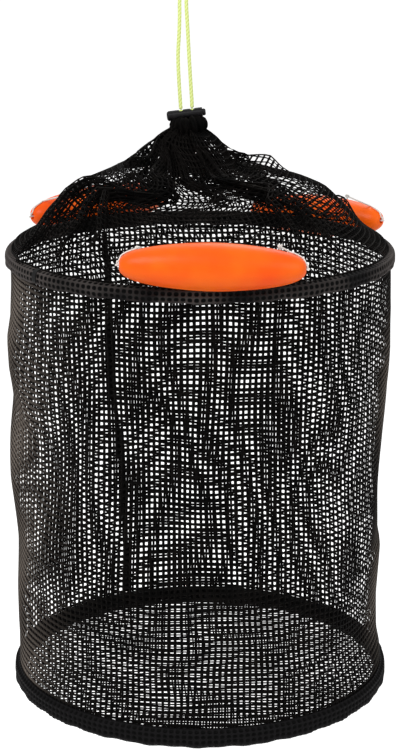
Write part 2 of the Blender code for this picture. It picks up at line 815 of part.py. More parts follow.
def build_net():
    net = empty("hoop_frame", Matrix.Translation((HANG_OFFSET, 0, -BIGHT_RISE)))
    _, top_middle = hoop(
        "top", 0, TOP_SLEEVE_HEIGHT, TOP_SEAM_DEG, TOP_PATCH_WIDTH, net
    )
    lower, bottom_middle = hoop(
        "bottom", -NET_DEPTH, BOTTOM_SLEEVE_HEIGHT, BOTTOM_SEAM_DEG, BOTTOM_PATCH_WIDTH, net
    )
    away = FIT_GAP + THREAD_RADIUS
    wall(
        top_middle - TOP_SLEEVE_HEIGHT / 2 - away,
        bottom_middle + BOTTOM_SLEEVE_HEIGHT / 2 + away,
        net,
    )
    lower.append(base(bottom_middle, net))
    foot = top_middle + TOP_SLEEVE_HEIGHT / 2 + away

    lean = Matrix.Translation((-LOCK_LEAN, 0, NECK_HEIGHT)) @ Matrix.Rotation(
        -math.radians(LOCK_TILT_DEG), 4, "Y"
    )
    lock = empty("lock_frame", net.matrix_world @ lean)
    neck(foot, lean, net)
    mouth_hem(lock)
    finished(
        "draw_cord",
        cord_curve("held", strand_loop(LOCK_RADIUS), CORD_RADIUS, CORD_ROUND_STEPS),
        LOOKS["cord"],
        lock,
    )
    bight(lean, net)
    body, plunger, spring = cord_lock(lock)
    slide = empty(
        "lock_slide",
        Matrix.Translation(lock.matrix_world.translation)
        @ Matrix.Rotation(-math.radians(SLIDE_TILT_DEG), 4, "Y"),
    )
    hang_on([body, spring, plunger], slide)
    hoop_lift = empty("net_collapse", net.matrix_world @ Matrix.Translation((0, 0, -NET_DEPTH)))
    hang_on(lower, hoop_lift)
    for label, place in FLOAT_PLACES.items():
        tied_float(label, place, foot, net)


for leftover in list(bpy.data.objects):
    bpy.data.objects.remove(leftover)

LOOKS = {
    "wire": material("coated steel wire", (0.05, 0.05, 0.05), 0.4),
    "ferrule": material("zinc ferrule", (0.55, 0.55, 0.56), 0.35, 1.0),
    "sleeve": material("knitted sleeve", (0.022, 0.021, 0.022), 0.75),
    "patch": material("seam patch", (0.012, 0.012, 0.013), 0.6),
    "net": material("knotless netting", (0.018, 0.017, 0.018), 0.7),
    "tape": material("seam tape", (0.015, 0.015, 0.016), 0.7),
    "lock": material("lock body plastic", (0.014, 0.014, 0.016), 0.4),
    "button": material("button plastic", (0.010, 0.010, 0.012), 0.35),
    "spring": material("spring steel", (0.6, 0.6, 0.6), 0.3, 1.0),
    "cord": material("fluorescent cord", (0.62, 0.85, 0.10), 0.6),
    "float": material("orange float plastic", (1.0, 0.16, 0.012), 0.35),
    "twine": material("white twine", (0.85, 0.85, 0.83), 0.6),
}

build_net()
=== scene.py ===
"""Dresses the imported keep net: netting at its real mesh, knitted hoop sleeves, the gathered mouth,
the twisted draw cord, twine, and a finish for each piece. Metres, +Z up, the frame's own axes."""

import math

import bpy
import numpy as np
from mathutils import Matrix, Vector
from mathutils.bvhtree import BVHTree
from numpy.linalg import norm


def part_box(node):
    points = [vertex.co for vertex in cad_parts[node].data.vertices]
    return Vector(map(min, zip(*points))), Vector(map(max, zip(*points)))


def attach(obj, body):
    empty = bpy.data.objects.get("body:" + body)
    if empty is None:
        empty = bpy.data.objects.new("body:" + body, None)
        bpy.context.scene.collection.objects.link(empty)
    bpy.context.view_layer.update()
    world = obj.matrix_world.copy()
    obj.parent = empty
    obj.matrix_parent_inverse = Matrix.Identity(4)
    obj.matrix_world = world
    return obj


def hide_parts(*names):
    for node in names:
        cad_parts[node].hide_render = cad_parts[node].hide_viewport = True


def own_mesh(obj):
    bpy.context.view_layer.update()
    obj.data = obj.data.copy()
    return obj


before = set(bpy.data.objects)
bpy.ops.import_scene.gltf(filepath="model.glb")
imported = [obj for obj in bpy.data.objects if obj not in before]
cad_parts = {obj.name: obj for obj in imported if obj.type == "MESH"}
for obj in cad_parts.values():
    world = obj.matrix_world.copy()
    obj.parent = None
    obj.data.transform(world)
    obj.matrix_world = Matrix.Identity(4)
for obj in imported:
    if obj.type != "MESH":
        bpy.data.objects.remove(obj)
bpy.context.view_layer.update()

bl_info = {
    "name": "Keep Net",
    "version": (1, 0, 0),
    "blender": (4, 5, 0),
    "location": "View3D > Sidebar > Keep Net",
    "description": "Dresses a round keep net with netting, sleeves, cord and floats",
    "category": "Object",
}

# The middle of the top hoop, and the frame of the cord lock between its two holes
HOOP_CENTRE = np.array((0.0146, 0.0, -0.311))
LOCK_CENTRE = np.array((0.0035, 0.0, -0.1873))
LOCK_TURN = Matrix.Rotation(math.radians(-7), 3, "Y")
# From the lock's middle out to a hole, up to the hole's end, and down to the cord's turn
HOLE_OUT = 0.00485
HOLE_END = 0.0044
TURN_BELOW = 0.0084
# The radius of the lock's barrel with a little room
LOCK_RADIUS = 0.0047
# Points round the mouth's hem, and round its roll
HEM_GRID = (180, 36)
# Two materials that several pieces share
NETTING = "knotless polyester netting"
TAPE = "woven seam tape"

# Lay of the cord and the twine: strands, length of a turn, steps along, points round
CORD_LAY = (3, 0.0100, 0.0008, 18)
TWINE_LAY = (2, 0.0040, 0.0006, 10)

# From a float's middle to its end, and its radius at the middle
FLOAT_END = 0.0745
FLOAT_RADIUS = 0.01975
# From a float's skin to the middle of its twine
TWINE_OFF = 0.0009
# How much wider a thread may be where cloth is drawn together
FULLEST = 1.7


def metres(*rows):
    """The rows of a table that is written in millimetres."""
    return np.array(rows) / 1000


# The neck's outline at its two sides, from the hoop to the mouth: distance out, height, lean
# towards the lock, and how much lower the net lies at the front and the back
NECK_STATIONS = metres(
    (165, 4, 0, 0), (164, 12, 0, 0), (145, 22, 0.3, 3), (131.5, 40, 1.5, 9), (113, 59, 1.5, 13),
    (99.5, 65.5, 2.5, 13), (73.5, 75.5, 5.5, 11), (41, 92, 7, 7), (21.5, 107, 8.8, 2),
    (9, 113, 11.2, 0),
)
# The neck's folds: azimuth, half width at the mouth in degrees of cloth, the share of the hoop's
# radius where it begins, and how far it stands out near the hoop and near the mouth. With nothing
# for the mouth it opens out below the wings and closes again
NECK_FOLDS = (
    (36, 10, 0.98, -1, -1), (58, 11, 1, 1, 1), (80, 11, 0.98, -1, -1), (102, 11, 1, 1, 1),
    (124, 11, 0.96, -1, 1), (145, 10, 1, -1, -1), (203, 10, 1.03, 1, 0), (225, 8, 1.02, 1, 1),
    (242, 8.5, 1, 1, 1), (258, 10, 0.6, 1, 1), (279, 10, 0.58, 1, 1), (306, 8.5, 1, 1, 1),
    (323, 8.5, 0.98, 1, 1), (0, 15, 0.38, 1, 1), (180, 15, 0.38, 1, 1),
)

# The wall's outline as it hangs, left and right: distance down from the hoop, and distance out
LEFT_OUTLINE = metres(
    (0, 165), (66, 166.1), (87, 169.2), (113, 168.8), (145, 164.9), (178, 166.9), (221, 168.3),
    (274, 165.3), (313, 166), (349, 164.3), (377, 165),
)
RIGHT_OUTLINE = metres(
    (0, 166), (50, 167.4), (87, 166.2), (119, 163.4), (171, 162.4), (204, 160.9), (258, 159.7),
    (271, 162.1), (314, 159.9), (345, 160.6), (360, 164), (377, 165),
)

# Middle line of the free bight: across and up
BIGHT_ROUTE = metres(
    (-1.89, -183.23), (-2.35, -175.83), (-2.85, -168.44), (-3.5, -156.97), (-3.95, -146.44),
    (-4.1, -134.97), (-3.24, -120.37), (-2.77, -106.69), (-2.72, -93.19), (-2.82, -62.87),
    (-4.49, -36.62), (-6.69, -18.87), (-5.96, -6.85), (-3.24, -0.38), (0, 1.65), (3.24, -0.38),
    (5.96, -6.85), (6.69, -18.87), (4.6, -36.62), (3.13, -62.87), (3.03, -93.19), (3.66, -106.69),
    (4.39, -120.37), (5.12, -134.97), (5.9, -148.47), (6.79, -163.26), (7.47, -173.61),
    (7.74, -182.04),
)

# Twine of each float: from one knot over an end, through the bore, and back to the other knot
TWINE_ROUTES = {
    "front": metres(
        (-35.4, -143.7, -274.9), (-36.5, -171, -269.1), (-40.3, -171.8, -270.1),
        (-44.1, -172.9, -271.4), (-47.7, -174.2, -273.4), (-49.6, -175.4, -275.3),
        (-50.7, -176.8, -277.8), (-50.8, -178.2, -280.3), (-49.4, -178.5, -280.9),
        (24.6, -174.2, -283.4), (98.7, -169.9, -285.9), (100.1, -169.6, -285.3),
        (100, -168.5, -282.6), (99, -167.4, -280), (97.1, -166.7, -277.8), (93.5, -165.9, -275.5),
        (89.7, -165.5, -273.8), (85.9, -165.2, -272.5), (79.8, -137.1, -275.2),
    ),
    "left": metres(
        (-8.4, 153.7, -275.2), (-29.3, 193.4, -282.7), (-26.4, 195.9, -283.8),
        (-23.4, 198.5, -285.3), (-20.8, 201.2, -287.6), (-19.5, 202.8, -289.7),
        (-19.1, 204, -292.4), (-19.4, 204.7, -295.2), (-20.5, 204.1, -295.9), (-80.9, 161, -297.7),
        (-141.4, 117.9, -299.5), (-142.5, 117, -298.9), (-142.2, 116.7, -296),
        (-141.2, 117, -293.2), (-139.5, 117.8, -290.9), (-136.5, 119.6, -288.4),
        (-133.2, 121.7, -286.6), (-130.1, 123.7, -285.3), (-108.7, 93.4, -275.4),
    ),
    "right": metres(
        (150.2, 87.6, -275.6), (171.3, 117.5, -288.6), (174.4, 115.2, -289.7),
        (177.6, 112.8, -291.2), (180.6, 110.6, -293.4), (182.3, 109.5, -295.5),
        (183.3, 108.9, -298.3), (183.6, 108.8, -301.2), (182.6, 109.7, -301.9),
        (124.2, 155.5, -305.8), (65.9, 201.2, -309.7), (64.8, 202, -309.1), (64.7, 202, -306.2),
        (65.3, 201.3, -303.3), (66.7, 200.1, -301), (69.3, 197.9, -298.4), (72.3, 195.5, -296.5),
        (75.2, 193.2, -295), (50, 156.5, -275.8),
    ),
}


def linear(code):
    """A hex colour as a screen shows it, turned to the linear values that a shader takes."""
    shares = [int(code[k : k + 2], 16) / 255 for k in (1, 3, 5)]
    return tuple(s / 12.92 if s <= 0.04045 else ((s + 0.055) / 1.055) ** 2.4 for s in shares)


def colour(name, description, code):
    kind = {"subtype": "COLOR", "size": 3, "min": 0, "max": 1, "default": linear(code)}
    return bpy.props.FloatVectorProperty(name=name, description=description, **kind)


def size(name, description, default):
    unit = {"min": 0, "subtype": "DISTANCE", "unit": "LENGTH"}
    return bpy.props.FloatProperty(name=name, description=description, default=default, **unit)


def power(name, description, default):
    return bpy.props.FloatProperty(name=name, description=description, default=default, min=0)


def number(name, description, default):
    return bpy.props.IntProperty(name=name, description=description, default=default, min=1)


class KEEPNET_PG_netting(bpy.types.PropertyGroup):
    radius: size("Hoop radius", "From the net's middle to the hoop wire", 0.165)
    columns: number("Columns", "Meshes round the net, 5.3 mm each", 196)
    wall_rows: number("Wall rows", "Meshes from the top hoop to the bottom one", 70)
    neck_rows: number("Neck rows", "Meshes from the top hoop to the mouth", 38)
    base_cells: number("Base meshes", "Meshes across the flat bottom", 61)
    thread: size("Thread", "Thickness of one knotless thread", 0.0023)
    base_thread: size("Base thread", "Thickness of the stretched thread of the bottom", 0.0015)
    wall_top: size("Wall top below origin", "Where the wall enters the top sleeve", 0.3135)
    wall_bottom: size("Wall bottom below origin", "Where it enters the bottom sleeve", 0.6880)
    dark: colour("Thread dark", "Dyed thread in its shade", "#050505")
    light: colour("Thread light", "Dusty, brownish side of the thread", "#110F0E")
    # Painted sheen: brown-grey light on the threads seen at a grazing angle on the wall's two sides
    painted_sheen: colour("Thread faded", "Faded thread on the two sides of the wall", "#756C64")


class KEEPNET_PG_sleeves(bpy.types.PropertyGroup):
    top_height: size("Top height", "Height of the knitted sleeve on the top hoop", 0.0124)
    bottom_height: size("Bottom height", "Height of the sleeve on the bottom hoop", 0.0162)
    width: size("Width", "Thickness of both sleeves across the hoop", 0.0090)
    # Partly the black tape's own colour, partly painted shade in the pits; the seam tape's weave
    # also takes it
    dark: colour("Sleeve dark", "The pits between the ribs", "#020202")
    light: colour("Sleeve light", "The ribs", "#131213")
    # Painted highlight: light caught on stretches of the top sleeve's ribs
    highlighted: colour("Sleeve dusty", "The top ribs where they are dusty", "#4A4543")


class KEEPNET_PG_cord(bpy.types.PropertyGroup):
    diameter: size("Cord", "Diameter of the twisted draw cord", 0.0033)
    twine: size("Twine", "Diameter of the twine on the floats", 0.0015)
    bright: colour("Cord", "Fluorescent yellow-green fibre", "#EAF7A0")
    # Painted shade in the grooves between the strands
    shade: colour("Cord grooves", "Between the strands", "#C9DB6A")
    white: colour("Twine", "White nylon", "#F1EEE8")


class KEEPNET_PG_floats(bpy.types.PropertyGroup):
    skin: colour("Float skin", "Moulded orange foam skin", "#FF6A0C")
    deep: colour("Float deep", "Deeper orange where the skin is thin", "#FC5006")
    lock: colour("Lock", "Black plastic of the cord lock", "#0C0B0D")


class KEEPNET_PG_stage(bpy.types.PropertyGroup):
    floor_drop: size("Floor", "How far the floor lies below the origin", 0.95)
    pale: colour("Floor colour", "Painted studio floor", "#F4F4F4")
    key_watts: power("Key light", "Power of the lamp at the front left", 30)
    fill_watts: power("Fill light", "Power of each of the two other lamps", 9)
    room: power("Room light", "Strength of the light all round", 0.5)


class KEEPNET_PG_all(bpy.types.PropertyGroup):
    netting: bpy.props.PointerProperty(type=KEEPNET_PG_netting)
    sleeves: bpy.props.PointerProperty(type=KEEPNET_PG_sleeves)
    cord: bpy.props.PointerProperty(type=KEEPNET_PG_cord)
    floats: bpy.props.PointerProperty(type=KEEPNET_PG_floats)
    stage: bpy.props.PointerProperty(type=KEEPNET_PG_stage)


def add_node(look, kind, settings=None, links=None):
    """Adds a node. Settings name its properties or its inputs, links feed its inputs."""
    node = look.node_tree.nodes.new(kind)
    for key, value in (settings or {}).items():
        if isinstance(key, int) or key in node.inputs:
            node.inputs[key].default_value = value
        else:
            setattr(node, key, value)
    for key, source in (links or {}).items():
        if source is not None:
            look.node_tree.links.new(source, node.inputs[key])
    return node


def new_material(name):
    look = bpy.data.materials.new(name)
    look.use_nodes = True
    look.node_tree.nodes.clear()
    return look


def add_surface(look, rough, shine, tone=None, normal=None, glow=None, **more):
    """The Principled shader with its values, colour, bump and glow, wired to the output. More of
    its inputs are named with underscores."""
    values = {key.replace("_", " "): value for key, value in more.items()}
    values.update({"Roughness": rough, "Specular IOR Level": shine})
    links = {"Base Color": tone, "Normal": normal, "Emission Strength": glow}
    shader = add_node(look, "ShaderNodeBsdfPrincipled", values, links)
    add_node(look, "ShaderNodeOutputMaterial", links={"Surface": shader.outputs["BSDF"]})
    return look


def maths(look, operation, *values):
    """A math node over numbers and over what other nodes give."""
    numbers = {k: value for k, value in enumerate(values) if isinstance(value, (int, float))}
    links = {k: value for k, value in enumerate(values) if k not in numbers}
    settings = {"operation": operation, **numbers}
    return add_node(look, "ShaderNodeMath", settings, links).outputs[0]


def map_range(look, source, *limits):
    """Maps a value between two limits to 0 to 1, or to two more limits."""
    settings = dict(enumerate(limits, 1))
    return add_node(look, "ShaderNodeMapRange", settings, {0: source}).outputs[0]


def noise(look, scale, detail=2.0, **more):
    """Noise over the object, with so many patches to the metre."""
    where = add_node(look, "ShaderNodeTexCoord").outputs["Object"]
    settings = {"Scale": scale, "Detail": detail, **more}
    return add_node(look, "ShaderNodeTexNoise", settings, {"Vector": where}).outputs[0]


def grain(look, height, strength, distance):
    """A bump of the surface from a height."""
    settings = {"Strength": strength, "Distance": distance}
    return add_node(look, "ShaderNodeBump", settings, {"Height": height}).outputs[0]


def cloth_place(look):
    """Where a point lies on its cloth: along the rows first, then across them."""
    where = add_node(look, "ShaderNodeUVMap").outputs[0]
    return add_node(look, "ShaderNodeSeparateXYZ", links={0: where}).outputs


def off_line(look, place, lines):
    """Nothing on each of the knit's lines, and one half-way between two."""
    turned = maths(look, "MULTIPLY", place, math.pi * lines)
    return maths(look, "ABSOLUTE", maths(look, "SINE", turned))


def painted(look, layer):
    """What was painted on the piece's points."""
    return add_node(look, "ShaderNodeVertexColor", {"layer_name": layer}).outputs[0]


def blend_colours(look, source, low, high, start, stop):
    """One colour where the source is at the start, and the other where it is at the stop."""
    ramp = add_node(look, "ShaderNodeValToRGB", links={"Fac": source})
    for end, tone, place in zip(ramp.color_ramp.elements, (low, high), (start, stop)):
        end.position, end.color = place, (*tone, 1)
    return ramp.outputs["Color"]


def mix_colours(look, share, tone, other):
    """The tone where the share is nothing, and the other colour where it is one."""
    settings = {"data_type": "RGBA", 7: (*other, 1)}
    return add_node(look, "ShaderNodeMix", settings, {0: share, 6: tone}).outputs[2]


def knotless_netting_material(settings):
    """Knitted polyester thread, dyed black: matt, with a dusty brown bloom, a faint sheen, and a
    painted brown-grey sheen along the rows on the wall's two sides.
    """
    look = new_material(NETTING)
    # Dust comes in patches of about 25 mm
    patches = noise(look, 40.0, 3.0)
    tone = blend_colours(look, patches, settings.dark, settings.light, 0.40, 0.78)
    # The wall's two sides get a painted brown-grey sheen along the rows, standing in for light on
    # threads seen at a grazing angle, and stay dark between them
    off_row = off_line(look, cloth_place(look)[1], settings.wall_rows)
    on_row = map_range(look, off_row, 0.25, 0.85, 1.0, 0.08)
    share = maths(look, "MULTIPLY", painted(look, "painted_sheen"), on_row)
    tone = mix_colours(look, share, tone, settings.painted_sheen)
    # Drawn coarser than real fibres, at 0.6 mm
    fibres = grain(look, noise(look, 1600.0), 0.5, 0.0003)
    sheen = {"Sheen_Weight": 0.06, "Sheen_Roughness": 0.35, "Sheen_Tint": (0.36, 0.31, 0.27, 1)}
    return add_surface(look, 0.62, 0.02, tone, fibres, **sheen)


def knitted_sleeve_material(settings, name, columns, rows, highlighted):
    """Netting doubled over black tape: ribs 5.3 mm apart stand over a darker ground. The pits are
    darkened further with painted shade, and stretches of the ribs get a painted highlight.
    """
    look = new_material(name)
    place = cloth_place(look)
    # The pits get the dark colour: partly the black tape beneath, partly painted shade in the
    # recesses
    off_rib = (off_line(look, place[0], columns), off_line(look, place[1], rows))
    depth = map_range(look, maths(look, "MULTIPLY", *off_rib), 0.30, 0.55)
    # Stretches of the ribs get a painted highlight, light caught on them painted into their colour
    stretches = noise(look, 11.0, 3.0)
    ribs = blend_colours(look, stretches, settings.light, highlighted, 0.47, 0.62)
    tone = mix_colours(look, depth, ribs, settings.dark)
    fibres = grain(look, noise(look, 1400.0), 0.6, 0.0003)
    return add_surface(look, 0.55, 0.05, tone, fibres)


def woven_tape_material(settings):
    """Woven polyester tape: a close weave of about 1.2 mm, a little smoother than the net."""
    look = new_material(TAPE)
    weave = noise(look, 900.0, Roughness=0.7)
    tone = blend_colours(look, weave, settings.dark, settings.light, 0.35, 0.85)
    fibres = grain(look, weave, 0.7, 0.0004)
    return add_surface(look, 0.50, 0.14, tone, fibres, Sheen_Weight=0.03)


def twisted_fibre_material(name, bright, shade, roughness):
    """Fine fibre laid in strands: painted shade darkens the groove between two strands."""
    look = new_material(name)
    tone = blend_colours(look, painted(look, "groove"), bright, shade, 0.25, 0.95)
    filaments = grain(look, noise(look, 2000.0), 0.4, 0.0002)
    return add_surface(look, roughness, 0.4, tone, filaments, Sheen_Weight=0.15)


def moulded_float_material(settings):
    """Moulded foam skin: satin orange, very slightly pebbled, with faint clouds in its colour."""
    look = new_material("moulded float skin")
    tone = blend_colours(look, noise(look, 30.0), settings.skin, settings.deep, 0.35, 0.8)
    pebbles = grain(look, noise(look, 700.0, 1.0), 0.12, 0.0003)
    coat = {"Coat_Weight": 0.04, "Coat_Roughness": 0.22}
    return add_surface(look, 0.38, 0.16, tone, pebbles, **coat)


def moulded_plastic_material(name, tone, roughness):
    """Injection-moulded nylon: near black, fine spark-eroded grain of about 0.4 mm."""
    look = new_material(name)
    lighter = tuple(min(1, 1.7 * c + 0.004) for c in tone)
    worn = blend_colours(look, noise(look, 220.0, 3.0), tone, lighter, 0.45, 0.85)
    eroded = grain(look, noise(look, 2400.0), 0.35, 0.0002)
    return add_surface(look, roughness, 0.14, worn, eroded)


def drawn_metal_material(name, code, roughness):
    """Drawn or rolled metal: fine streaks and small cloudy patches in its polish."""
    look = new_material(name)
    base = linear(code)
    dull = tuple(0.7 * c for c in base)
    tone = blend_colours(look, noise(look, 800.0, 3.0), dull, base, 0.3, 0.7)
    return add_surface(look, roughness, 0.5, tone, Metallic=1.0)


def switch(mode):
    bpy.ops.object.mode_set(mode=mode)


def deselect():
    if bpy.context.object and bpy.context.object.mode != "OBJECT":
        switch("OBJECT")
    bpy.ops.object.select_all(action="DESELECT")


def pick(piece):
    deselect()
    piece.select_set(True)
    bpy.context.view_layer.objects.active = piece


def mesh_points(piece):
    points = np.empty(3 * len(piece.data.vertices))
    piece.data.vertices.foreach_get("co", points)
    return points.reshape(-1, 3)


def paint(piece, layer, shares):
    """Paints each point's share on the piece, for its material to read."""
    values = np.stack([shares] * 3 + [np.ones_like(shares)], -1)
    made = piece.data.color_attributes.new(layer, "FLOAT_COLOR", "POINT")
    made.data.foreach_set("color", values.ravel())


def run_length(route):
    """How far along a route each of its points lies."""
    return np.concatenate([[0], np.cumsum(norm(np.diff(route, axis=0), axis=1))])


def points_at(where, length, route):
    """The points that lie so far along a route."""
    return np.stack([np.interp(where, length, values) for values in route.T], -1)


def lay_grid(name, across, along, place):
    """A grid primitive laid on the surface that place gives for each point's column and row."""
    deselect()
    bpy.ops.mesh.primitive_grid_add(x_subdivisions=across, y_subdivisions=along, size=1)
    piece = bpy.context.object
    piece.name = piece.data.name = name
    spots = mesh_points(piece) + 0.5
    column = np.rint(spots[:, 0] * across).astype(int)
    row = np.rint(spots[:, 1] * along).astype(int)
    piece.data.vertices.foreach_set("co", place(column, row).ravel())
    piece.data.update()
    return piece


def close_seams(piece, fill=False):
    """Merges the points where a sheet meets itself, and turns its faces outwards. It can also
    fill what is left open."""
    pick(piece)
    switch("EDIT")
    bpy.ops.mesh.select_all(action="SELECT")
    bpy.ops.mesh.remove_doubles(threshold=2e-5)
    if fill:
        bpy.ops.mesh.fill_holes(sides=0)
    bpy.ops.mesh.normals_make_consistent(inside=False)
    switch("OBJECT")


def apply_modifier(piece, kind, **settings):
    pick(piece)
    modifier = piece.modifiers.new(kind.lower(), kind)
    for key, value in settings.items():
        setattr(modifier, key, value)
    bpy.ops.object.modifier_apply(modifier=modifier.name)


def make_threads(piece, thickness, depth_share, even=True, fuller=None):
    """Turns a sheet's edges into knotless threads, pressed flat to a share of their width. Even
    offset keeps them full where the sheet is flat, but throws spikes on sharp folds. Where cloth is
    drawn together, the shares in fuller make its threads wider."""
    settings = {"use_even_offset": even, "use_boundary": True, "use_replace": True}
    if fuller is not None:
        group = piece.vertex_groups.new(name="fuller")
        for index, share in enumerate(fuller):
            group.add([index], float(share), "REPLACE")
        thickness *= FULLEST
        settings.update(vertex_group="fuller", thickness_vertex_group=1 / FULLEST)
    cloth = BVHTree.FromPolygons(
        [vertex.co.copy() for vertex in piece.data.vertices],
        [tuple(face.vertices) for face in piece.data.polygons],
    )
    apply_modifier(piece, "WIREFRAME", thickness=thickness, **settings)
    for vertex in piece.data.vertices:
        nearest = cloth.find_nearest(vertex.co)[0]
        vertex.co = nearest + (vertex.co - nearest) * depth_share
    piece.data.update()


def dress(piece, look):
    piece.data.materials.clear()
    piece.data.materials.append(look)


def settle(piece, look, body, slot, *stands_for):
    """Gives a finished piece its material, its smooth shading and the body it moves with."""
    pick(piece)
    bpy.ops.object.shade_smooth()
    dress(piece, look)
    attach(piece, body)
    if stands_for:
        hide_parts(*stands_for)
    return piece


def round_net(radius, angle, height):
    """Points round the net's axis, from the hoop's middle."""
    return np.stack([radius * np.cos(angle), radius * np.sin(angle), height], -1) + HOOP_CENTRE


def middle_of(node):
    low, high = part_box(node)
    return (low + high) / 2


def bell(distance, width):
    return np.exp(-((distance / width) ** 2))


def turned_apart(angle, azimuth):
    """How far an angle lies from an azimuth, in degrees."""
    return np.abs((np.degrees(angle) - azimuth + 180) % 360 - 180)


def wall_outline(angle, down):
    """How far out the wall hangs, from the two outlines at its sides."""
    deepest, radius = LEFT_OUTLINE[-1]
    face = radius - 0.0030 * np.sin(np.pi * np.clip(down / deepest, 0, 1))
    left, right = (np.interp(down, *side.T) - face for side in (LEFT_OUTLINE, RIGHT_OUTLINE))
    side = np.cos(angle)
    return face + left * np.clip(-side, 0, 1) ** 3 + right * np.clip(side, 0, 1) ** 3


def wall_surface(angle, share, netting):
    """The wall at an angle and a share of the way down: it hangs in and out by a few millimetres,
    and its rows and columns wander, most at the left where the net is drawn up."""
    slack = np.sin(np.pi * share)
    depth = netting.wall_bottom - netting.wall_top
    ripple = 0.0011 * np.sin(7 * angle + 9 * share) + 0.0009 * np.sin(3 * angle - 17 * share + 1)
    radius = wall_outline(angle, depth * share) + ripple * np.minimum(1, 3 * slack)
    sway = 0.014 * np.sin(3 * angle + 7 * share) + 0.010 * np.sin(8 * angle - 9 * share + 2)
    sway += 0.006 * np.sin(17 * angle + 11 * share)
    wander = 0.0028 * np.sin(4 * angle + 3 + 5 * share) + 0.0018 * np.sin(11 * angle - 9 * share)
    drawn_left = 0.034 * bell(turned_apart(angle, 182), 22)
    drawn_up = drawn_left + 0.016 * bell(turned_apart(angle, 357), 18)
    height = -netting.wall_top - depth * share
    height += wander * slack + drawn_up * np.clip(slack, 0, 1) ** 0.8 * (1 - 0.4 * share)
    return round_net(radius, angle + sway * slack, height - HOOP_CENTRE[2])


def fold_shape(along, ratio):
    """Which way the cloth turns along a row of the neck: broad folds with flats between, and how
    much of each point lies in a fold."""
    broad = np.zeros_like(along)
    zone = np.zeros_like(along)
    for azimuth, widest, start, at_hoop, at_mouth in NECK_FOLDS:
        gathered = np.clip((start - ratio) / 0.5, 0, 1) ** 0.6
        reach = widest / 360 * (0.5 + 0.5 * gathered)
        strength = np.clip((start - ratio) / 0.2, 0, 1)
        if not at_mouth:
            strength = strength * np.interp(ratio, (0.28, 0.40, 0.50, 0.60), (1, 0, 0, 1))
        outwards = np.interp(ratio, (0.50, 0.62), (at_mouth or at_hoop, at_hoop))
        gap = (along - azimuth / 360 + 0.5) % 1 - 0.5
        inside = np.abs(gap) < reach
        broad -= np.where(inside, outwards * strength * np.sin(np.pi * gap / reach), 0)
        middle = np.cos(np.pi * np.clip(gap / reach, -1, 1) / 2)
        zone += np.where(inside, strength * np.sqrt(np.clip(middle, 0, 1)), 0)
    return broad, zone


def folded_row(ratio, girth, columns):
    """One row of cloth folded until it is as short as its ring, at the front and the back alike:
    the angle and the rise of each column's point."""
    fine = 8
    along = np.arange(columns * fine) / (columns * fine)
    broad, zone = fold_shape(along, ratio)
    fine_share = 0.10 + 0.70 * np.clip((0.56 - ratio) / 0.40, 0, 1)
    small = zone * np.sin(2 * np.pi * 42 * along + 1.3 * np.sin(2 * np.pi * 5 * along))
    shape = (1 - fine_share) * broad + fine_share * small
    turns = np.linspace(0, 3.8, 191)
    turn = np.empty_like(along)
    for half in (along < 0.5, along >= 0.5):
        reached = np.array([np.cos(t * shape[half]).mean() for t in turns]) <= ratio
        turn[half] = turns[int(reached.argmax())] if reached.any() else turns[-1]
    step = girth / len(along)
    forward = np.concatenate([[0], np.cumsum(np.cos(turn * shape)) * step])
    shrunk = np.cos(turn * fine_share * small).mean()
    high = np.cumsum(np.sin(turn * (1 - fine_share) * broad)) * step * shrunk
    low = np.cumsum(np.sin(turn * shape)) * step - high
    window = len(along) // 14
    spread = np.convolve(np.concatenate([low, low, low]), np.ones(window) / window, "same")
    low -= spread[len(along) : 2 * len(along)]
    return 2 * np.pi * forward[:-1:fine] / forward[-1], (0.7 * high + low)[::fine]


def smooth_profile(stations):
    """The neck's stations joined by a rounded line, in steps of half a millimetre or so."""
    length = run_length(stations[:, :2])
    line = points_at(np.linspace(0, length[-1], 400), length, stations)
    weight = np.hanning(33)[:, None] / np.hanning(33).sum()
    padded = np.pad(line, ((16, 16), (0, 0)), mode="reflect", reflect_type="odd")
    return np.array([(padded[k : k + 33] * weight).sum(0) for k in range(400)])


def float_axis(label):
    """The middle of a float and its axis, from where its twine runs through it."""
    ends = [Vector(TWINE_ROUTES[label][k]) for k in (8, 10)]
    return (ends[0] + ends[1]) / 2, (ends[1] - ends[0]).normalized()


def float_radius(along):
    share = np.clip(np.abs(along) / FLOAT_END, 0, 1)
    return FLOAT_RADIUS * (1 - share**1.55) ** 0.335


def draw_to_knots(points, reach):
    """Each float's knots draw the net out to themselves."""
    for label in TWINE_ROUTES:
        for side in ("left", "right"):
            knot = np.array(middle_of(f"{label}_knot_{side}"))
            inwards = HOOP_CENTRE + (0, 0, 0.02) - knot
            tied = knot + inwards / norm(inwards) * 0.0034
            apart = norm(points - tied, axis=-1)
            nearest = points[np.unravel_index(apart.argmin(), apart.shape)]
            points = points + (tied - nearest) * bell(apart, reach)[..., None]
    return points


def clear_of_floats(points, gap):
    """The net gives way where a float presses on it."""
    for label in TWINE_ROUTES:
        middle, axis = (np.array(v) for v in float_axis(label))
        from_middle = points - middle
        along = from_middle @ axis
        away = from_middle - along[..., None] * axis
        distance = norm(away, axis=-1)
        wanted = float_radius(along) + gap * (np.abs(along) < FLOAT_END)
        grow = np.where(distance < wanted, wanted / np.maximum(distance, 1e-6), 1)
        points = middle + along[..., None] * axis + away * grow[..., None]
    return points


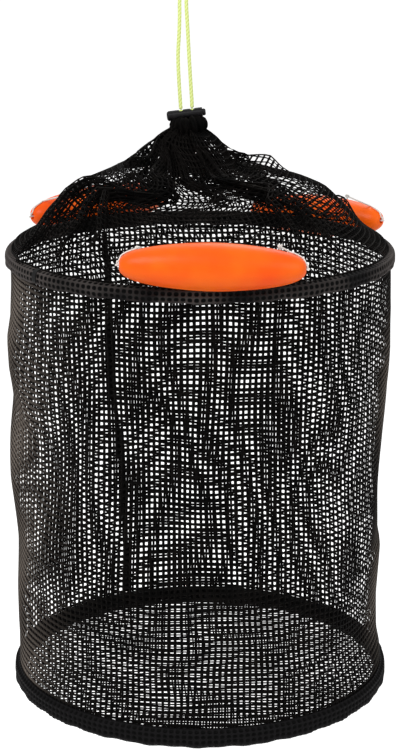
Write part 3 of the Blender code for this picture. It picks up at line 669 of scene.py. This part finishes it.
def neck_points(netting):
    """Every knot of the neck's netting, row by row from the hoop to the mouth."""
    curve = smooth_profile(NECK_STATIONS)
    length = run_length(curve[:, :2])
    girth = 2 * np.pi * netting.radius
    rows = []
    for row in range(netting.neck_rows + 1):
        here = length[-1] * row / netting.neck_rows
        radius, height, lean, drop = points_at(here, length, curve)
        before, after = (points_at(here + step, length, curve[:, :2]) for step in (-0.004, 0.004))
        slope = after - before
        out, up = np.array((slope[1], -slope[0])) / np.hypot(*slope)
        ratio = np.clip(radius / netting.radius, 0.05, 0.999)
        angle, lift = folded_row(ratio, girth, netting.columns)
        level = height - drop * np.sin(angle) ** 2
        # It sags a little on its right side, below the mouth
        level -= 0.0080 * bell(turned_apart(angle, 0), 55) * bell(ratio - 0.26, 0.13)
        swirl = 0.10 * (1 - ratio) ** 1.5
        place = round_net(radius + out * lift, angle + swirl, level + up * lift)
        rows.append(place - (lean, 0, 0))
    laid = clear_of_floats(draw_to_knots(np.array(rows), 0.022), 0.0022)
    return draw_to_knots(draw_to_knots(laid, 0.013), 0.010)


def side_strips(piece):
    """How much each point lies in the strips where the wall is drawn together at its two sides:
    the whole of the left one, and two bands of the right one. The painted sheen goes on the same
    strips."""
    points = mesh_points(piece) - HOOP_CENTRE
    angle = np.arctan2(points[:, 1], points[:, 0])
    down = -points[:, 2]
    left = bell(turned_apart(angle, 194), 19) * (0.74 + 0.26 * np.sin(55 * down + 9 * angle))
    bands = bell(down - 0.115, 0.05) + bell(down - 0.300, 0.05)
    return np.clip(left + 0.9 * bell(turned_apart(angle, 351), 11) * bands, 0, 1)


class KEEPNET_OT_wall(bpy.types.Operator):
    """Weaves the wall between the hoops, in a front and a back half, with its seam tape"""

    bl_idname = "keep_net.wall"
    bl_label = "Wall netting"

    def execute(self, context):
        netting = context.scene.keep_net.netting
        thread = knotless_netting_material(netting)
        half = netting.columns // 2
        for name, start in (("wall_netting_front", math.pi), ("wall_netting_back", 0.0)):

            def hang(column, row, start=start):
                angle = start + np.pi * column / half
                return wall_surface(angle, row / netting.wall_rows, netting)

            piece = lay_grid(name, half, netting.wall_rows, hang)
            make_threads(piece, netting.thread, 0.36, fuller=side_strips(piece))
            # Only the half in front gets the painted sheen
            paint(piece, "painted_sheen", side_strips(piece) * (0.95 if start else 0.0))
            settle(piece, thread, "upper_net", "net", "wall_net")
            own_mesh(piece)

        def on_wall(column, row):
            """The tape's points, 2.6 mm to each side of its middle and just off the wall."""
            share = 0.012 + 0.975 * row / 120
            angle = np.radians(123 - 7 * share) + (column - 3) / 3 * 0.0026 / netting.radius
            out = np.stack([np.cos(angle), np.sin(angle), 0 * angle], -1)
            off = 0.0012 + 0.0002 * np.where((row + column) % 2, 1, -1)
            return wall_surface(angle, share, netting) + out * off[:, None]

        tape = lay_grid("seam_tape_woven", 6, 120, on_wall)
        apply_modifier(tape, "SOLIDIFY", thickness=0.0011, offset=1)
        weave = woven_tape_material(context.scene.keep_net.sleeves)
        settle(tape, weave, "upper_net", "tape", "wall_seam_tape")
        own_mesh(tape)
        return {"FINISHED"}


class KEEPNET_OT_base(bpy.types.Operator):
    """Weaves the flat bottom and draws its edge into the bottom sleeve"""

    bl_idname = "keep_net.base"
    bl_label = "Base netting"

    def execute(self, context):
        netting = context.scene.keep_net.netting
        count, radius = netting.base_cells, netting.radius - 0.0035
        level = sum(corner.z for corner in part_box("base_net")) / 2

        def place(column, row):
            x = (2 * column / count - 1) * radius
            y = (2 * row / count - 1) * radius
            warp = 0.0011 * np.sin(31 * x + 40 * y) + 0.0008 * np.sin(55 * y - 20 * x)
            drop = 0.0012 * np.cos(np.pi * np.minimum(1, np.hypot(x, y) / radius) / 2)
            sag = 0.0008 * np.sin(70 * x) * np.sin(60 * y + 1) - drop
            spot = (HOOP_CENTRE[0] + x + warp, HOOP_CENTRE[1] + y - warp, level + sag)
            return np.stack(spot, -1)

        piece = lay_grid("base_netting", count, count, place)
        # The cloth is cut round, and its edge drawn out to the sleeve
        switch("EDIT")
        bpy.ops.mesh.select_mode(type="FACE")
        bpy.ops.mesh.select_all(action="DESELECT")
        switch("OBJECT")
        centre = Vector(HOOP_CENTRE)
        for face in piece.data.polygons:
            face.select = (face.center - centre).to_2d().length > radius
        switch("EDIT")
        bpy.ops.mesh.delete(type="FACE")
        bpy.ops.mesh.select_mode(type="EDGE")
        bpy.ops.mesh.select_non_manifold()
        switch("OBJECT")
        for vertex in piece.data.vertices:
            if vertex.select:
                vertex.co.xy = centre.xy + (vertex.co - centre).to_2d().normalized() * radius
        make_threads(piece, netting.base_thread, 1.0)
        settle(piece, bpy.data.materials[NETTING], "bottom_frame", "net", "base_net")
        return {"FINISHED"}


class KEEPNET_OT_neck(bpy.types.Operator):
    """Weaves the pleated neck from the top hoop to the gathered mouth"""

    bl_idname = "keep_net.neck"
    bl_label = "Neck netting"

    def execute(self, context):
        netting = context.scene.keep_net.netting
        knots = neck_points(netting)

        def gather(column, row):
            return knots[row, column % netting.columns]

        piece = lay_grid("neck_netting", netting.columns, netting.neck_rows, gather)
        close_seams(piece)
        make_threads(piece, netting.thread * 1.03, 0.36, even=False)
        settle(piece, bpy.data.materials[NETTING], "upper_net", "net", "neck_net")
        # Every row keeps the hoop's girth and folds it up; the cut is not tapered to 0.72 m at the
        # mouth
        return {"FINISHED"}


def band_section(half_width, half_height, count):
    """Evenly spaced (out, up) points round a band with rounded edges."""
    turn = np.linspace(0, 2 * np.pi, 721)
    straight = half_height - half_width
    out = half_width * np.cos(turn)
    up = half_width * np.sin(turn) + straight * np.clip(np.sin(turn) * 6, -1, 1)
    section = np.stack([out, up], -1)
    length = run_length(section)
    return points_at(np.arange(count) / count * length[-1], length, section)


def knit_sleeve(settings, label, height, rows, highlighted, seam_deg, patch_width, body):
    """Knits one hoop's sleeve, and wraps the patch over its seam."""
    radius, columns = settings.netting.radius, settings.netting.columns
    sleeves = settings.sleeves
    level = sum(corner.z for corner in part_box(f"{label}_hoop_sleeve")) / 2 - HOOP_CENTRE[2]
    section = band_section(sleeves.width / 2, height / 2, rows * 5)
    count = columns * 4
    wide = patch_width / radius
    steps = max(6, round(patch_width / 0.0009))

    def raised(turn, spot, rise, slack=0):
        """Points that stand out from the sleeve, and hang slack on its lower half."""
        out, up = section[spot % len(section)].T
        grow = 1 + (rise + slack * (up < 0)) / np.hypot(out, up)
        return round_net(radius + out * grow, turn, up * grow + level)

    def knit(column, row):
        turn = 2 * np.pi * column / count
        pit = np.abs(np.sin(np.pi * column / 4) * np.sin(np.pi * row / 5))
        slack = 0.0004 * np.sin(23 * turn) + 0.0003 * np.sin(51 * turn + 1)
        return raised(turn, row, 0.0006 - 0.0019 * pit, slack)

    def wrap(column, row):
        turn = math.radians(seam_deg) + wide * (column / steps - 0.5)
        return raised(turn, row - 3, 0.0010 + 0.0002 * np.cos(np.pi * column))

    piece = lay_grid(f"{label}_sleeve_knit", count, len(section), knit)
    close_seams(piece)
    ribs = knitted_sleeve_material(sleeves, f"knitted {label} sleeve", columns, rows, highlighted)
    settle(piece, ribs, body, "sleeve", f"{label}_hoop_sleeve")
    cover = lay_grid(f"{label}_seam_wrap", steps, len(section) * 2 // 3, wrap)
    close_seams(cover)
    apply_modifier(cover, "SOLIDIFY", thickness=0.0009, offset=-1)
    settle(cover, bpy.data.materials[TAPE], body, "patch", f"{label}_sleeve_patch")


class KEEPNET_OT_sleeves(bpy.types.Operator):
    """Knits the two sleeves round the hoops, with the patches over their seams"""

    bl_idname = "keep_net.sleeves"
    bl_label = "Hoop sleeves"

    def execute(self, context):
        settings = context.scene.keep_net
        sleeves = settings.sleeves
        # Height, ribs and the colour of the ribs' painted highlight, then the seam's azimuth in
        # degrees and its patch's width
        top = (sleeves.top_height, 7, sleeves.highlighted, 216, 0.0052)
        bottom = (sleeves.bottom_height, 9, sleeves.light, 9, 0.018)
        knit_sleeve(settings, "top", *top, "upper_net")
        knit_sleeve(settings, "bottom", *bottom, "bottom_frame")
        return {"FINISHED"}


def curve_through(points, steps):
    """A Catmull-Rom curve through the points, with as many steps between each two."""
    points = [Vector(p) for p in points]
    padded = [2 * points[0] - points[1], *points, 2 * points[-1] - points[-2]]
    made = []
    for a, b, c, d in zip(padded, padded[1:], padded[2:], padded[3:]):
        second, third = 2 * a - 5 * b + 4 * c - d, 3 * b - a - 3 * c + d
        for k in range(steps):
            t = k / steps
            made.append(0.5 * (2 * b + (c - a) * t + second * t**2 + third * t**3))
    return [*made, points[-1]]


def even_steps(points, step):
    """The same route in equal steps."""
    route = np.array([tuple(p) for p in points])
    length = run_length(route)
    where = np.linspace(0, length[-1], max(4, round(length[-1] / step)) + 1)
    return points_at(where, length, route)


def twisted_tube(name, route, radius, strands, lay, step, sides):
    """A laid cord along a route: strands twisted round each other, its ends closed."""
    line = even_steps(route, step)
    tangents = np.gradient(line, axis=0)
    tangents /= norm(tangents, axis=1)[:, None]
    side = np.cross(tangents[0], (0, 1, 0))
    if norm(side) < 0.1:
        side = np.cross(tangents[0], (1, 0, 0))
    sides_at = []
    for tangent in tangents:
        side = side - tangent * side.dot(tangent)
        side /= norm(side)
        sides_at.append(side)
    across = np.array(sides_at)
    above = np.cross(tangents, across)
    last = len(line) - 1

    def place(column, row):
        turn = 2 * np.pi * column / sides
        twist = 2 * np.pi * row * step / lay
        lobe = np.abs(np.cos(strands * (turn - twist) / 2))
        ends = np.where((row == 0) | (row == last), 0.35, 1.0)
        ring = (radius * (0.86 + 0.16 * lobe) * ends)[:, None]
        out, up = ring * np.cos(turn)[:, None], ring * np.sin(turn)[:, None]
        return line[row] + out * across[row] + up * above[row]

    piece = lay_grid(name, sides, last, place)
    close_seams(piece, fill=True)
    nearest = np.array([norm(line - p, axis=1).min() for p in mesh_points(piece)])
    # Painted shade in the grooves between the strands, deepest nearest the cord's middle line
    paint(piece, "groove", np.clip((1.02 - nearest / radius) / 0.16, 0, 1))
    return piece, line


def lock_place(along, up):
    """A point in the cord lock's frame: along the lock and up through its holes."""
    return Vector(LOCK_CENTRE) + LOCK_TURN @ Vector((along, 0, up))


class KEEPNET_OT_cord(bpy.types.Operator):
    """Lays the draw cord: the free bight over the lock, and the turn inside the mouth"""

    bl_idname = "keep_net.cord"
    bl_label = "Draw cord"

    def execute(self, context):
        cord = context.scene.keep_net.cord
        fibre = twisted_fibre_material("fluorescent laid cord", cord.bright, cord.shade, 0.6)
        route = curve_through([(x, 0, z) for x, z in BIGHT_ROUTE], 6)
        radius = cord.diameter / 2
        bight, line = twisted_tube("draw_cord_free_bight", route, radius, *CORD_LAY)
        settle(bight, fibre, "upper_net", "cord", "draw_cord_bight")
        length = float(run_length(line)[-1])
        spots = [(-HOLE_OUT, HOLE_END), (-HOLE_OUT, -HOLE_END)]
        for k in range(13):
            turn = math.pi * (1 + k / 12)
            spots.append((HOLE_OUT * math.cos(turn), HOLE_OUT * math.sin(turn) - TURN_BELOW))
        spots += [(HOLE_OUT, -HOLE_END), (HOLE_OUT, HOLE_END)]
        route = [lock_place(*spot) for spot in spots]
        held, _ = twisted_tube("draw_cord_turn", route, radius, *CORD_LAY)
        settle(held, fibre, "upper_net", "cord", "draw_cord")
        return {"FINISHED"}


def hem_place(column, row):
    """The hem's points: a ring gathered into ruffles, under the lock and tilted with it."""
    turn = 2 * np.pi * column / HEM_GRID[0]
    ring = 2 * np.pi * row / HEM_GRID[1]
    gather = 0.0017 * np.sin(15 * turn + 1.1 * np.sin(3 * turn))
    gather += 0.0006 * np.sin(37 * turn + 2 * np.sin(ring))
    outer = (1 + np.cos(ring)) / 2
    reach = 0.0082 + 0.0066 * np.cos(ring) + gather * outer
    top = 0.0080 * np.sin(ring) * (1 + 0.10 * np.sin(11 * turn + 1))
    eye = 0.0018 * bell(np.cos(turn) * reach, 0.0012) * (np.sin(ring) > 0)
    # The top cups the round underside of the lock
    under = np.sqrt(np.clip(LOCK_RADIUS**2 - (reach * np.sin(turn)) ** 2, 0, None)) + 0.0002
    level = np.minimum(-0.0095 + top, -under) - eye * np.sin(ring)
    spots = np.stack([reach * np.cos(turn), reach * np.sin(turn), level], -1)
    return LOCK_CENTRE + spots @ np.array(LOCK_TURN).T


class KEEPNET_OT_mouth(bpy.types.Operator):
    """Gathers the mouth's hem into a ruffled bunch under the lock"""

    bl_idname = "keep_net.mouth"
    bl_label = "Mouth hem"

    def execute(self, context):
        piece = lay_grid("mouth_hem_ruffle", *HEM_GRID, hem_place)
        close_seams(piece)
        settle(piece, bpy.data.materials[NETTING], "upper_net", "net", "mouth_hem")
        return {"FINISHED"}


def knot_route(node):
    """A trefoil of about 4 mm where a knot's node is, facing out from the net."""
    middle = middle_of(node)
    out = Vector((middle.x - HOOP_CENTRE[0], middle.y, 0)).normalized()
    turn = out.to_track_quat("Z", "Y").to_matrix()
    route = []
    for k in range(61):
        t = 2 * math.pi * k / 60
        x = math.sin(t) + 2 * math.sin(2 * t)
        y = math.cos(t) - 2 * math.cos(2 * t)
        route.append(middle + turn @ Vector((x, y, -math.sin(3 * t))) * 0.00068)
    return route


def hugging(label):
    """The twine's route, close on the float's skin and straight through its bore."""
    points = [Vector(p) for p in TWINE_ROUTES[label]]
    middle, axis = float_axis(label)
    for k in (*range(1, 8), *range(11, len(points) - 1)):
        along = (points[k] - middle).dot(axis)
        away = points[k] - middle - axis * along
        skin = float(float_radius(along)) + TWINE_OFF
        past = abs(along) - FLOAT_END
        if past < 0 and away.length > skin:
            points[k] = middle + axis * along + away.normalized() * skin
        elif past > TWINE_OFF:
            points[k] -= axis * math.copysign(past - TWINE_OFF, along)
    near = [points[9].lerp(points[k], 0.96) for k in (8, 10)]
    bore = [points[8], near[0], points[9], near[1], points[10]]
    return curve_through([*points[:8], *bore, *points[11:]], 5)


class KEEPNET_OT_ties(bpy.types.Operator):
    """Ties each float with twisted white twine and a knot on each side"""

    bl_idname = "keep_net.ties"
    bl_label = "Float ties"

    def execute(self, context):
        cord = context.scene.keep_net.cord
        radius = cord.twine / 2
        # The twine's painted shade for its grooves
        shade = tuple(0.72 * c for c in cord.white)
        fibre = twisted_fibre_material("twisted nylon twine", cord.white, shade, 0.5)
        for label in TWINE_ROUTES:
            twine, _ = twisted_tube(f"{label}_twine", hugging(label), radius, *TWINE_LAY)
            settle(twine, fibre, f"{label}_float_tie", "twine", f"{label}_float_twine")
            for side in ("left", "right"):
                node = f"{label}_knot_{side}"
                knot, _ = twisted_tube(f"{node}_tied", knot_route(node), radius, *TWINE_LAY)
                settle(knot, fibre, "upper_net", "twine", node)
        return {"FINISHED"}


class KEEPNET_OT_hardware(bpy.types.Operator):
    """Finishes the floats, the cord lock and the hoops' wire and ferrules"""

    bl_idname = "keep_net.hardware"
    bl_label = "Floats, lock and wire"

    def execute(self, context):
        floats = context.scene.keep_net.floats
        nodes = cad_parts
        skin = moulded_float_material(floats)
        looks = {
            "cord_lock_body": moulded_plastic_material("moulded lock nylon", floats.lock, 0.42),
            "cord_lock_button": moulded_plastic_material("moulded button nylon", floats.lock, 0.36),
            "cord_lock_spring": drawn_metal_material("spring steel wire", "#C4C4C6", 0.30),
        }
        wire = moulded_plastic_material("coated hoop wire", linear("#222222"), 0.45)
        ferrule = drawn_metal_material("zinc ferrule", "#B4B6BA", 0.38)
        for label in ("top", "bottom"):
            looks[f"{label}_hoop_wire"] = wire
            looks[f"{label}_hoop_ferrule"] = ferrule
        for label in TWINE_ROUTES:
            looks[f"{label}_float"] = skin
            modifiers = nodes[f"{label}_float"].modifiers
            modifiers.new("merge", "WELD").merge_threshold = 1e-5
            rounder = modifiers.new("rounder", "SUBSURF")
            rounder.levels = rounder.render_levels = 2
        for name, look in looks.items():
            dress(nodes[name], look)
        return {"FINISHED"}


def seen_in_picture(look):
    """One where the picture itself looks at a surface, and nothing where light only falls on it."""
    ray = add_node(look, "ShaderNodeLightPath").outputs
    seen = maths(look, "MAXIMUM", ray["Is Camera Ray"], ray["Is Glossy Ray"])
    return maths(look, "MAXIMUM", seen, ray["Is Transmission Ray"])


def floor_material(stage):
    """Painted floor: matt white. What the picture shows of it is lifted to white, and keeps
    the object's shadow."""
    look = new_material("painted studio floor")
    lift = maths(look, "MULTIPLY", seen_in_picture(look), 0.55)
    colours = {"Base_Color": (*stage.pale, 1), "Emission_Color": (1, 1, 1, 1)}
    return add_surface(look, 0.9, 0.5, glow=lift, **colours)


def light_room(stage):
    """A pale room all round, which the picture itself shows as white."""
    world = bpy.data.worlds.new("studio room")
    world.use_nodes = True
    world.node_tree.nodes.clear()
    light = maths(world, "MULTIPLY_ADD", seen_in_picture(world), 1 - stage.room, stage.room)
    glow = add_node(world, "ShaderNodeBackground", {"Color": (1, 1, 1, 1)}, {"Strength": light})
    add_node(world, "ShaderNodeOutputWorld", links={"Surface": glow.outputs[0]})
    bpy.context.scene.world = world


def add_lamp(name, place, width, watts):
    """A round lamp that looks at the middle of the net."""
    lamp = bpy.data.lights.new(name, "AREA")
    lamp.shape = "DISK"
    lamp.size = width
    lamp.energy = watts
    made = bpy.data.objects.new(name, lamp)
    bpy.context.scene.collection.objects.link(made)
    made.location = place
    aim = Vector((0.015, 0, -0.45)) - Vector(place)
    made.rotation_euler = aim.to_track_quat("-Z", "Y").to_euler()


class KEEPNET_OT_stage(bpy.types.Operator):
    """Sets up the floor, the soft studio light and the camera"""

    bl_idname = "keep_net.stage"
    bl_label = "Stage"

    def execute(self, context):
        stage = context.scene.keep_net.stage
        scene = context.scene
        deselect()
        bpy.ops.mesh.primitive_grid_add(
            x_subdivisions=8, y_subdivisions=8, size=30, location=(0, 0, -stage.floor_drop)
        )
        floor = bpy.context.object
        floor.name = "studio_floor"
        bpy.ops.object.transform_apply(location=True, rotation=False, scale=False)
        floor.data.materials.append(floor_material(stage))
        light_room(stage)
        add_lamp("key", (-0.9, -1.5, 1.3), 1.3, stage.key_watts)
        add_lamp("fill", (1.5, -1.3, 0.5), 1.4, stage.fill_watts)
        add_lamp("rim", (0.4, 1.6, 1.2), 1.2, stage.fill_watts)
        camera = bpy.data.objects.new("camera", bpy.data.cameras.new("camera"))
        scene.collection.objects.link(camera)
        camera.location = (0.0146, -1.759, 0.0653)
        camera.rotation_euler = (math.radians(74.55), 0, 0)
        camera.data.sensor_fit = "VERTICAL"
        camera.data.sensor_height = 36
        camera.data.lens = 98.23
        camera.data.clip_start = 0.05
        scene.camera = camera
        scene.view_settings.view_transform = "Standard"
        return {"FINISHED"}


STEPS = (
    KEEPNET_OT_stage,
    KEEPNET_OT_cord,
    KEEPNET_OT_wall,
    KEEPNET_OT_base,
    KEEPNET_OT_neck,
    KEEPNET_OT_sleeves,
    KEEPNET_OT_mouth,
    KEEPNET_OT_ties,
    KEEPNET_OT_hardware,
)


class KEEPNET_PT_panel(bpy.types.Panel):
    """Lists the steps that dress the net"""

    bl_label = "Keep Net"
    bl_idname = "KEEPNET_PT_panel"
    bl_space_type = "VIEW_3D"
    bl_region_type = "UI"
    bl_category = "Keep Net"

    def draw(self, context):
        for group in ("netting", "sleeves", "cord", "floats", "stage"):
            box = self.layout.box()
            box.label(text=group.capitalize())
            settings = getattr(context.scene.keep_net, group)
            for name in settings.bl_rna.properties.keys():
                if name not in ("rna_type", "name"):
                    box.prop(settings, name)
        for step in STEPS:
            self.layout.operator(step.bl_idname)


CLASSES = (
    KEEPNET_PG_netting,
    KEEPNET_PG_sleeves,
    KEEPNET_PG_cord,
    KEEPNET_PG_floats,
    KEEPNET_PG_stage,
    KEEPNET_PG_all,
    *STEPS,
    KEEPNET_PT_panel,
)


def register():
    for made in CLASSES:
        bpy.utils.register_class(made)
    bpy.types.Scene.keep_net = bpy.props.PointerProperty(type=KEEPNET_PG_all)


def unregister():
    del bpy.types.Scene.keep_net
    for made in reversed(CLASSES):
        bpy.utils.unregister_class(made)


def main():
    register()
    bpy.ops.keep_net.stage()
    bpy.ops.keep_net.cord()
    bpy.ops.keep_net.wall()
    bpy.ops.keep_net.base()
    bpy.ops.keep_net.neck()
    bpy.ops.keep_net.sleeves()
    bpy.ops.keep_net.mouth()
    bpy.ops.keep_net.ties()
    bpy.ops.keep_net.hardware()


if __name__ == "__main__":
    main()
